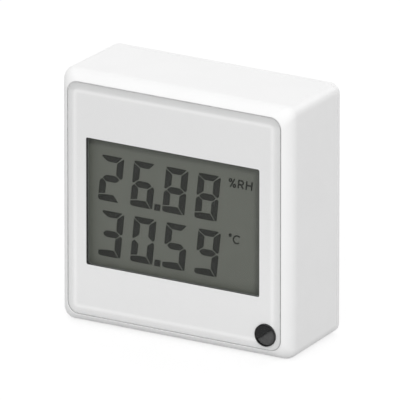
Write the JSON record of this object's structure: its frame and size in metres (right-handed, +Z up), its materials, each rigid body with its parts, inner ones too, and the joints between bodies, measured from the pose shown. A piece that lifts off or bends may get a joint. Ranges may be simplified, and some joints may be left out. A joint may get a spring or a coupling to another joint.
{
  "type": "temperature humidity sensor",
  "caption": "Square free-standing climate sensor with a rounded white housing, a clear front lens over a liquid crystal display, a round black sensor port and a pull-off back cover.",
  "frame": {"origin": "middle of the bounding box's underside, on the surface that the sensor stands on", "axes": "+Z up, -Y out of the display, +X to the viewer's right"},
  "size_m": [0.065, 0.026, 0.065],
  "materials": {
    "white_housing": "satin",
    "clear_lens": "polished clear",
    "white_print": "printed",
    "clear_adhesive": "tacky film",
    "port_black": "satin",
    "port_glass": "smooth dark",
    "vent_cloth": "fine mesh",
    "soft_seal": "foam",
    "display_film": "anti-glare",
    "display_glass": "polished",
    "display_back": "grey-green reflector",
    "bracket_plastic": "moulded",
    "connector_rubber": "striped silicone",
    "board_laminate": "solder resist",
    "chip_black": "moulded epoxy",
    "sensor_package": "moulded epoxy",
    "capacitor_body": "fired",
    "tinned_steel": "tinned",
    "screw_steel": "zinc plated",
    "contact_steel": "nickel plated",
    "switch_black": "moulded",
    "button_grey": "fine satin",
    "tray_plastic": "moulded",
    "cell_jacket": "printed sleeve"
  },
  "bodies": {
    "housing": {"front_shell": "white_housing", "front_lens": "clear_lens", "display_mask": "white_print", "lens_adhesive": "clear_adhesive", "port_housing": "port_black", "port_window": "port_glass", "port_mesh": "vent_cloth", "sensor_gasket": "soft_seal", "lcd_gasket": "soft_seal", "lcd_front_polarizer": "display_film", "lcd_front_glass": "display_glass", "lcd_rear_glass": "display_glass", "lcd_reflector": "display_back", "lcd_bracket": "bracket_plastic", "zebra_strip_upper": "connector_rubber", "zebra_strip_lower": "connector_rubber", "main_board": "board_laminate", "humidity_chip": "sensor_package", "light_sensor": "sensor_package", "controller_chip": "chip_black", "board_capacitors": "capacitor_body", "radio_module": "board_laminate", "radio_shield": "tinned_steel", "board_screws": "screw_steel", "pairing_switch": "switch_black", "battery_tray": "tray_plastic", "tray_screws": "screw_steel", "battery_upper": "cell_jacket", "battery_lower": "cell_jacket", "positive_contact": "contact_steel", "negative_contact": "contact_steel", "bridge_contact": "contact_steel"},
    "cover": {"back_cover": "white_housing", "cover_catches": "white_housing"},
    "button": {"pairing_button": "button_grey", "switch_plunger": "switch_black"}
  },
  "joints": [
    {"name": "back_cover_pull", "type": "slide", "parent": "housing", "child": "cover", "axis": [0, 1, 0], "range_m": [0, 0.03], "deforming": ["cover_catches"]},
    {"name": "pairing_button_press", "type": "slide", "parent": "housing", "child": "button", "axis": [0, -1, 0], "range_m": [0, 0.0005], "stiffness_N_per_m": 500}
  ]
}
